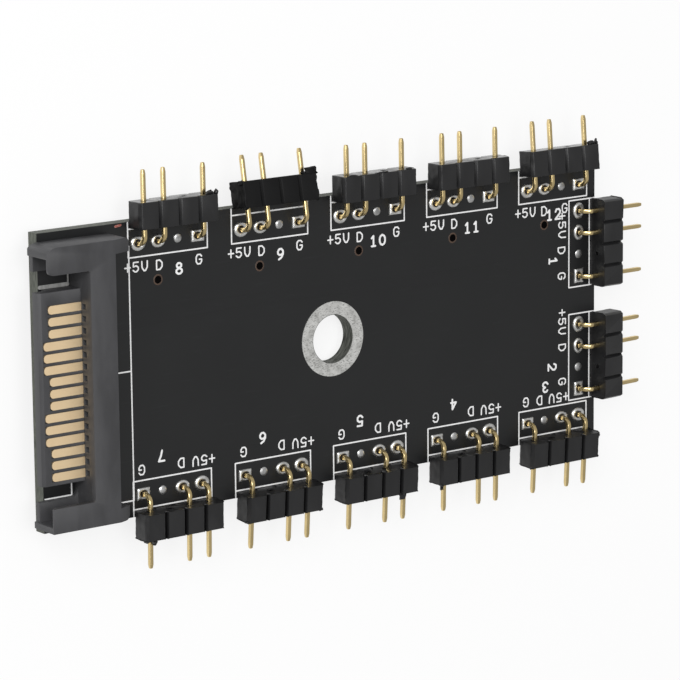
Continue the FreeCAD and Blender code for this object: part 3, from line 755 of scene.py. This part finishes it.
# Burrs and torn bits of the snapped strips: row, place in the row's frame and size, in mm
BURRS = (
    (8, (4.04, 2.36, 2.25), (0.5, 0.3, 0.14)), (8, (4.85, 2.3, 2.2), (0.2, 0.28, 0.2)),
    (9, (4.3, 2.9, 2.3), (0.75, 0.4, 0.3)), (9, (4.85, 3.15, 2.1), (0.25, 0.35, 0.3)),
    (9, (3.3, 2.8, 2.4), (0.4, 0.2, 0.15)), (9, (5.05, 0.5, 1.9), (0.2, 0.5, 0.35)),
    (9, (-5.05, 2.55, 2.3), (0.3, 0.3, 0.25)), (9, (-4.75, -0.15, 2.45), (0.3, 0.2, 0.15)),
    (10, (-3.85, 2.25, 2.45), (0.7, 0.1, 0.1)), (10, (0.0, 2.25, 2.45), (0.9, 0.09, 0.1)),
    (10, (4.0, 2.3, 2.4), (0.6, 0.13, 0.12)),
    (12, (4.0, 2.42, 2.25), (0.5, 0.3, 0.14)), (12, (4.95, 2.35, 2.0), (0.2, 0.3, 0.2)),
    (7, (4.8, 2.25, 2.1), (0.35, 0.22, 0.25)), (7, (3.64, 2.55, 1.8), (0.35, 0.42, 0.16)),
    (6, (-4.95, 2.2, 2.2), (0.22, 0.22, 0.22)), (6, (4.9, 2.2, 2.1), (0.25, 0.18, 0.25)),
    (5, (-3.39, 2.6, 1.75), (0.5, 0.4, 0.14)), (5, (-5.0, 2.2, 2.0), (0.18, 0.25, 0.2)),
    (4, (4.8, 2.2, 2.2), (0.3, 0.18, 0.22)), (4, (4.51, 2.6, 1.8), (0.2, 0.45, 0.14)),
    (3, (4.9, 2.2, 2.1), (0.22, 0.2, 0.2)), (3, (-4.95, 2.2, 2.2), (0.25, 0.22, 0.2)),
    (3, (-5.05, -0.3, 2.3), (0.15, 0.3, 0.15)),
)


def add_burr(work, spot, size, seed):
    """Adds a torn crumb of plastic."""
    matrix = Matrix.Translation(metres(spot)) @ Matrix.Diagonal((*metres(size), 1.0))
    crumb = bmesh.ops.create_icosphere(work, subdivisions=2, radius=1.0, matrix=matrix)["verts"]
    for point in crumb:
        shift = noise.noise_vector(point.co * 3500 + Vector((seed, 0, 0)))
        shift += 0.8 * noise.noise_vector(point.co * 9000 + Vector((0, seed, 0)))
        point.co += Vector([part * reach * 0.8 for part, reach in zip(shift, metres(size))])


def roughen_end(work, side, depth, seed):
    """Cuts up the end of a strip where it was snapped off and shifts its surface by a noise."""
    start = STRIP_HALF - ROUGH_LENGTH
    limit = start - 0.01 * MM
    for step in range(4):
        near = [face for face in work.faces
                if max(side * corner.co.x for corner in face.verts) > limit]
        cut(work, near, (side * (start + step * 0.16 * MM), 0, 0), (1, 0, 0))
    for normal in (Vector((0, 1, 0)), Vector((0, 0, 1))):
        for step in range(1, 12):
            near = [face for face in work.faces
                    if min(side * corner.co.x for corner in face.verts) > limit]
            cut(work, near, normal * (-0.7 * MM + step * 0.28 * MM), normal)
    for point in work.verts:
        share = (side * point.co.x - start) / (STRIP_HALF - start)
        if share > 0.05:
            shift = noise.noise_vector(point.co * 1800 + Vector((seed, seed, 0)))
            shift += 0.5 * noise.noise_vector(point.co * 5200 + Vector((seed, 0, seed)))
            point.co += shift * depth * min(share, 1.0)


class HUB_OT_add_strips(Operator):
    """Adds the plastic strips with rounded edges, broken ends and burrs"""
    bl_idname = "hub.add_strips"
    bl_label = "Add the strips"

    def execute(self, context):
        # A fixed seed, so that every run breaks the strips the same way
        noise.seed_set(NOISE_SEED)
        for number in row_numbers():
            node = "header_body_%02d" % number
            work = node_work(node)
            work.transform(tilted_frame(number).inverted())
            round_edges(work, sizes().edge_round)
            # Row 9 was torn off roughly, the two columns were cut clean
            force = {9: 2.6, 1: 0.25, 2: 0.25}.get(number, 1.0)
            for side in (-1, 1):
                roughen_end(work, side, sizes().break_depth * force, number * 7 + side)
            for index, (row, spot, size) in enumerate(BURRS):
                if row == number:
                    add_burr(work, spot, size, index * 5)
            work.transform(tilted_frame(number))
            upper = number > COLUMN_COUNT + ROW_COUNT
            # Row 9's strip takes the darkened colour, painted shade for its steep tilt
            key = "torn_and_shaded_strip" if number == 9 else "slid_strip" if upper else "strip"
            piece = finish_piece("strip_%02d" % number, work, key, 40)
            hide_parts(node)
        return {"FINISHED"}


def round_arm(work):
    """Rounds the front outer corner of the upper arm and lengthens the rear wall and its ear."""
    front = HOUSING_LOW[0]
    for step in (0.35 * MM, 0.7 * MM, CORNER_LENGTH):
        arm = [face for face in work.faces if face.calc_center_median().y > ARM_START]
        cut(work, arm, (front + step, 0, 0), (1, 0, 0))
    for point in work.verts:
        depth = point.co.x - front
        if depth < CORNER_LENGTH - 0.05 * MM and point.co.y > CORNER_START:
            point.co.y -= CORNER_CUT * (1 - depth / CORNER_LENGTH) ** 1.6
        if point.co.x > WALL_START:
            point.co.x += WALL_SHIFT
        if point.co.x > EAR_START[0] and point.co.y > EAR_START[1]:
            point.co.x += EAR_SHIFT


class HUB_OT_add_housing(Operator):
    """Adds the power socket's housing with its rounded moulded edges"""
    bl_idname = "hub.add_housing"
    bl_label = "Add the socket housing"

    def execute(self, context):
        work = node_work("power_housing")
        round_arm(work)
        round_edges(work, sizes().socket_round)
        piece = finish_piece("socket_housing", work, "housing", 40)
        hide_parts("power_housing")
        return {"FINISHED"}


class HUB_OT_add_hole_lining(Operator):
    """Adds the thin plated lining of the mounting hole"""
    bl_idname = "hub.add_hole_lining"
    bl_label = "Add the hole lining"

    def execute(self, context):
        work = bmesh.new()
        inner = HOLE_RADIUS - LINING
        add_spun(work, (
            (HOLE_RADIUS, RING_LOW[2]), (HOLE_RADIUS, RING_HIGH[2]), (inner, RING_HIGH[2]),
            (inner, RING_LOW[2])), steps=64)
        finish_piece("hole_lining", work, "bore", 30)
        return {"FINISHED"}


def add_stroke(work, start, end, width, level=0, height=0.0):
    """Adds one printed stroke with round ends, a hair thicker for each level over the last."""
    start, end = Vector((*start, 0.0)), Vector((*end, 0.0))
    way = end - start
    half = width / 2
    height = (height or sizes().print_height) + level * 0.0012 * MM
    matrix = Matrix.Translation(start) @ Matrix.Rotation(math.atan2(way.y, way.x), 4, "Z")
    add_bar(work, (0, -half, FACE_Z), (way.length, half, FACE_Z + height), matrix)
    for step, point in enumerate((start, end)):
        top = FACE_Z + height - (step + 1) * 0.0004 * MM
        add_stack(work, ((half, FACE_Z), (half, top)), (point.x, point.y, 0.0), corners=8)


# Long printed lines by the socket: start, end and level, in mm
LINES = (
    ((-26.65, 13.4), (-26.65, -14.15), 5), ((HOUSING_HIGH[0] / MM, -14.15), (-26.65, -14.15), 6),
    ((-28.4, -0.05), (-26.65, -0.05), 7), ((-37.8, -12.3), (-34.5, -12.3), 0),
    ((-34.5, -12.3), (-34.5, -10.0), 1),
)
# Lines under the socket's upper arm, their ink greyed as the arm's painted shade: start, end and
# width, in mm
ARM_SHADE_LINES = (((-37.8, 10.3), (-34.35, 10.3), 0.42), ((-34.3, 10.3), (-34.3, 12.6), 0.186))


class HUB_OT_add_print(Operator):
    """Adds the printed frames round the pads and the long lines by the socket"""
    bl_idname = "hub.add_print"
    bl_label = "Add the printed lines"

    def execute(self, context):
        work = bmesh.new()
        side = 2 * PITCH
        width = sizes().print_width
        strokes = (
            ((-side, FRAME_INNER), (side, FRAME_INNER)),
            ((-side, FRAME_OUTER), (side, FRAME_OUTER)),
            ((-side, FRAME_INNER), (-side, -width / 2)), ((side, FRAME_INNER), (side, -width / 2)))
        for number in row_numbers():
            place = row_frame(number)
            for level, (start, end) in enumerate(strokes):
                ends = [(place @ Vector((*point, 0.0)))[:2] for point in (start, end)]
                add_stroke(work, *ends, width, level)
        for start, end, level in LINES:
            add_stroke(work, metres(start), metres(end), width, level)
        finish_piece("printed_lines", work, "ink")
        # The lines under the arm, in ink greyed as painted shade
        arm_shade_work = bmesh.new()
        for level, (start, end, shaded_line_width) in enumerate(ARM_SHADE_LINES):
            add_stroke(arm_shade_work, metres(start), metres(end), shaded_line_width * MM, level)
        finish_piece("lines_painted_arm_shade", arm_shade_work, "ink_painted_shade")
        return {"FINISHED"}


# Strokes of each sign in a box one wide and one high, centred on zero
SIGNS = {
    "+": (((-0.38, 0), (0.6, 0)), ((0.11, -0.42), (0.11, 0.42))),
    "V": (((-0.5, 0.5), (-0.47, -0.15), (-0.15, -0.5), (0.15, -0.5), (0.47, -0.15), (0.5, 0.5)),),
    "D": (((-0.5, -0.5), (-0.5, 0.5), (0.1, 0.5), (0.5, 0.2), (0.5, -0.2), (0.1, -0.5),
           (-0.5, -0.5)),),
    "G": (((0.5, 0.3), (0.25, 0.5), (-0.25, 0.5), (-0.5, 0.25), (-0.5, -0.25), (-0.25, -0.5),
           (0.25, -0.5), (0.5, -0.25), (0.5, -0.02), (0.08, -0.02)),),
    "0": (((0.0, 0.5), (-0.35, 0.38), (-0.5, 0.15), (-0.5, -0.15), (-0.35, -0.38), (0.0, -0.5),
           (0.35, -0.38), (0.5, -0.15), (0.5, 0.15), (0.35, 0.38), (0.0, 0.5)),),
    "1": (((-0.35, 0.28), (0, 0.5), (0, -0.5)), ((-0.35, -0.5), (0.35, -0.5))),
    "2": (((-0.45, 0.25), (-0.25, 0.5), (0.25, 0.5), (0.5, 0.28), (0.42, 0.05), (-0.5, -0.5),
           (0.5, -0.5)),),
    "3": (((-0.45, 0.35), (-0.2, 0.5), (0.2, 0.5), (0.42, 0.32), (0.4, 0.12), (0.0, 0.03),
           (0.45, -0.12), (0.48, -0.33), (0.2, -0.5), (-0.2, -0.5), (-0.5, -0.3)),),
    "4": (((0.22, -0.5), (0.22, 0.5), (-0.5, -0.18), (0.5, -0.18)),),
    "5": (((0.45, 0.5), (-0.4, 0.5), (-0.45, 0.06), (0.1, 0.12), (0.45, -0.06), (0.45, -0.3),
           (0.15, -0.5), (-0.2, -0.5), (-0.5, -0.32)),),
    "6": (((0.3, 0.5), (-0.2, 0.32), (-0.48, 0.0), (-0.48, -0.28), (-0.2, -0.5), (0.2, -0.5),
           (0.48, -0.28), (0.45, -0.06), (0.18, 0.08), (-0.2, 0.06), (-0.46, -0.1)),),
    "7": (((-0.5, 0.5), (0.5, 0.5), (0.1, 0.0), (-0.1, -0.5)),),
    "8": (((0.0, 0.04), (-0.38, 0.18), (-0.4, 0.36), (-0.15, 0.5), (0.15, 0.5), (0.4, 0.36),
           (0.38, 0.18), (0.0, 0.04), (-0.48, -0.14), (-0.5, -0.34), (-0.2, -0.5), (0.2, -0.5),
           (0.5, -0.34), (0.48, -0.14), (0.0, 0.04)),),
    "9": (((-0.3, -0.5), (0.2, -0.32), (0.48, 0.0), (0.48, 0.28), (0.2, 0.5), (-0.2, 0.5),
           (-0.48, 0.28), (-0.45, 0.06), (-0.18, -0.08), (0.2, -0.06), (0.46, 0.1)),),
}

LETTER_WIDTH = 0.86 * MM
NUMBER_WIDTH = 0.95 * MM
# Middle of each mark in its row's frame, in mm, and the rows that differ from the rest
MARKS = {"+5V": (-4.15, -4.93), "D": (-1.15, -5.03), "G": (3.95, -5.02)}
OWN_MARKS = {
    1: {"+5V": (-2.39, -4.91), "D": (0.57, -5.0), "G": (3.57, -4.97), "1": (1.66, -6.26)},
    2: {"+5V": (-4.41, -4.89), "D": (-1.34, -4.88), "G": (2.69, -4.87), "2": (0.77, -6.39)},
    3: {"+5V": (-0.95, -4.82), "D": (2.01, -4.86), "G": (4.04, -4.93), "3": (1.12, -6.31)},
    12: {"D": (-1.31, -5.02), "G": (1.76, -5.0), "12": (0.11, -5.58)},
}


def add_words(work, matrix, words, middle, height, width, line):
    """Adds a word stroke by stroke, centred on a place of the row's frame."""
    gap = width * 1.3
    left = middle[0] - gap * (len(words) - 1) / 2
    level = 0
    for index, letter in enumerate(words):
        for path in SIGNS[letter]:
            spots = []
            for across, up in path:
                spot = Vector((
                    left + index * gap + across * (width - line),
                    middle[1] + up * (height - line), 0.0))
                spots.append((matrix @ spot)[:2])
            for start, end in zip(spots, spots[1:]):
                add_stroke(work, start, end, line, level)
                level += 1


class HUB_OT_add_marks(Operator):
    """Adds the port numbers and the pin marks by each row"""
    bl_idname = "hub.add_marks"
    bl_label = "Add the printed marks"

    def execute(self, context):
        letter = (sizes().letter_height, LETTER_WIDTH, sizes().letter_line)
        digit = (sizes().number_height, NUMBER_WIDTH, sizes().number_line)
        for number in row_numbers():
            work = bmesh.new()
            lower = COLUMN_COUNT < number <= COLUMN_COUNT + ROW_COUNT
            places = dict(MARKS)
            places[str(number)] = (1.37, -6.2 if lower else -5.72)
            places.update(OWN_MARKS.get(number, {}))
            for words, middle in places.items():
                shape = digit if words.isdigit() else letter
                add_words(work, row_frame(number), words, metres(middle), *shape)
            finish_piece("marks_%02d" % number, work, "ink")
        return {"FINISHED"}


# Middles of the vias, in mm
VIAS = ((-22.98, 9.38), (-9.71, 9.31), (3.75, 9.43), (16.99, 9.37), (30.42, 9.36))
# Edges of copper areas that show faintly through the mask, in mm
TRACKS = (
    ((-28.2, 6.4), (-9.6, 6.2), (15.4, 5.6), (23.8, 5.7), (25.9, 4.2)),
    ((-29.3, 4.5), (-8.7, 5.1), (16.8, 4.2)),
    ((-21.0, -10.0), (14.0, -11.8)),
)


class HUB_OT_add_board_details(Operator):
    """Adds the vias, the copper edges under the mask and the bare copper at the board's rim"""
    bl_idname = "hub.add_board_details"
    bl_label = "Add the board's details"

    def execute(self, context):
        tracks = bmesh.new()
        for path in TRACKS:
            for start, end in zip(path, path[1:]):
                add_stroke(
                    tracks, metres(start), metres(end), 0.22 * MM, 0, sizes().track_height)
        finish_piece("copper_edges", tracks, "track")
        rings = bmesh.new()
        holes = bmesh.new()
        reach = sizes().via_size / 2
        for place in VIAS:
            centre = (*metres(place), FACE_Z)
            add_spun(rings, (
                (reach, 0.0), (reach * 0.95, 0.015 * MM), (reach * 0.75, 0.02 * MM),
                (reach * 0.68, 0.0)), centre)
            add_stack(holes, ((reach * 0.72, 0.0), (reach * 0.72, 0.012 * MM)), centre)
        finish_piece("via_rings", rings, "via_ring", 50)
        finish_piece("via_holes", holes, "via")
        speck = bmesh.new()
        add_stroke(speck, metres((-28.25, 15.68)), metres((-27.6, 15.76)), 0.26 * MM)
        finish_piece("bare_copper", speck, "bare_copper")
        return {"FINISHED"}


class HUB_OT_add_stage(Operator):
    """Adds the floor, the lights and the camera"""
    bl_idname = "hub.add_stage"
    bl_label = "Add the stage"

    def execute(self, context):
        scene = context.scene
        scene.view_settings.view_transform = "Standard"
        work = bmesh.new()
        bmesh.ops.create_grid(
            work, x_segments=1, y_segments=1, size=3.0,
            matrix=Matrix.Translation((0, 0, PART_LOW[2])))
        mesh = bpy.data.meshes.new("floor")
        work.to_mesh(mesh)
        work.free()
        mesh.materials.append(floor_material())
        floor = bpy.data.objects.new("floor", mesh)
        scene.collection.objects.link(floor)
        light_room(scene)
        set_camera(scene)
        return {"FINISHED"}


def floor_material():
    """Matte white paper that glows white for the camera and a little for glossy surfaces."""
    material, tree, out = new_material("white_paper_floor")
    paper = add_node(tree, "ShaderNodeBsdfDiffuse", {"Color": opaque(linear("#F6F6F6"))})
    glow = add_node(tree, "ShaderNodeEmission", {"Strength": 1.0})
    path = add_node(tree, "ShaderNodeLightPath")
    mirrored = add_node(tree, "ShaderNodeMath", {"operation": "MULTIPLY", 1: 0.6}, {
        0: path.outputs["Is Glossy Ray"]})
    seen = add_node(tree, "ShaderNodeMath", {"operation": "MAXIMUM"}, {
        0: path.outputs["Is Camera Ray"], 1: mirrored.outputs["Value"]})
    share = add_node(tree, "ShaderNodeMath", {"operation": "MULTIPLY", 1: 0.8}, {
        0: seen.outputs["Value"]})
    blend = add_node(tree, "ShaderNodeMixShader", None, {
        0: share.outputs["Value"], 1: paper.outputs["BSDF"], 2: glow.outputs["Emission"]})
    tree.links.new(blend.outputs["Shader"], out.inputs["Surface"])
    return material


def add_lamp(scene, name, place, size, power):
    """Adds a square soft lamp that looks at the hub."""
    lamp = bpy.data.lights.new(name, "AREA")
    lamp.shape = "SQUARE"
    lamp.size = size
    lamp.energy = power
    holder = bpy.data.objects.new(name, lamp)
    holder.location = place
    holder.rotation_euler = (-holder.location).to_track_quat("-Z", "Y").to_euler()
    scene.collection.objects.link(holder)


def light_room(scene):
    """A pale room with two large soft lamps on the viewer's side."""
    world = bpy.data.worlds.new("pale_room")
    world.use_nodes = True
    world.node_tree.nodes.clear()
    tree = world.node_tree
    path = add_node(tree, "ShaderNodeLightPath")
    strength = add_node(tree, "ShaderNodeMapRange", {"To Min": 0.42, "To Max": 1.0}, {
        "Value": path.outputs["Is Camera Ray"]})
    sky = add_node(tree, "ShaderNodeBackground", {"Color": (1, 1, 1, 1)}, {
        "Strength": strength.outputs["Result"]})
    out = tree.nodes.new("ShaderNodeOutputWorld")
    tree.links.new(sky.outputs["Background"], out.inputs["Surface"])
    scene.world = world
    add_lamp(scene, "left_soft_box", (-0.45, 0.3, 0.45), 0.4, 2.6)
    add_lamp(scene, "top_soft_box", (-0.1, 0.1, 0.75), 0.4, 1.9)


def set_camera(scene):
    """The photograph's view, solved from the pin grid: position and axes in the part's frame."""
    right = Vector((0.79973625, -0.01049885, 0.60025969))
    up = Vector((0.12743604, 0.98003055, -0.15264398))
    back = Vector((-0.58667025, 0.19856964, 0.78510389))
    place = Vector((-236.78, 80.217, 318.246)) * MM
    camera = bpy.data.cameras.new("camera")
    camera.sensor_width = 36.0
    camera.lens = 194.32
    camera.clip_start = 0.01
    camera.clip_end = 20.0
    holder = bpy.data.objects.new("camera", camera)
    turn = Matrix((right, up, back)).transposed().to_4x4()
    holder.matrix_world = Matrix.Translation(place) @ turn
    scene.collection.objects.link(holder)
    scene.camera = holder


class HUB_PT_panel(Panel):
    """Lists the steps that dress the hub"""
    bl_label = "Fan light hub"
    bl_space_type = "VIEW_3D"
    bl_region_type = "UI"
    bl_category = "Fan hub"

    def draw(self, context):
        column = self.layout.column()
        for operator in OPERATORS:
            column.operator(operator.bl_idname)


OPERATORS = (
    HUB_OT_dress_nodes, HUB_OT_add_pins, HUB_OT_add_pads, HUB_OT_add_solder, HUB_OT_add_strips,
    HUB_OT_add_housing, HUB_OT_add_hole_lining, HUB_OT_add_print, HUB_OT_add_marks,
    HUB_OT_add_board_details, HUB_OT_add_stage)
CLASSES = (HubSizes, HubColours, *OPERATORS, HUB_PT_panel)


def register():
    for item in CLASSES:
        bpy.utils.register_class(item)
    bpy.types.Scene.hub_sizes = PointerProperty(type=HubSizes)
    bpy.types.Scene.hub_colours = PointerProperty(type=HubColours)


def unregister():
    del bpy.types.Scene.hub_sizes
    del bpy.types.Scene.hub_colours
    for item in reversed(CLASSES):
        bpy.utils.unregister_class(item)


def main():
    register()
    for operator in OPERATORS:
        group, name = operator.bl_idname.split(".")
        getattr(getattr(bpy.ops, group), name)()


if __name__ == "__main__":
    main()
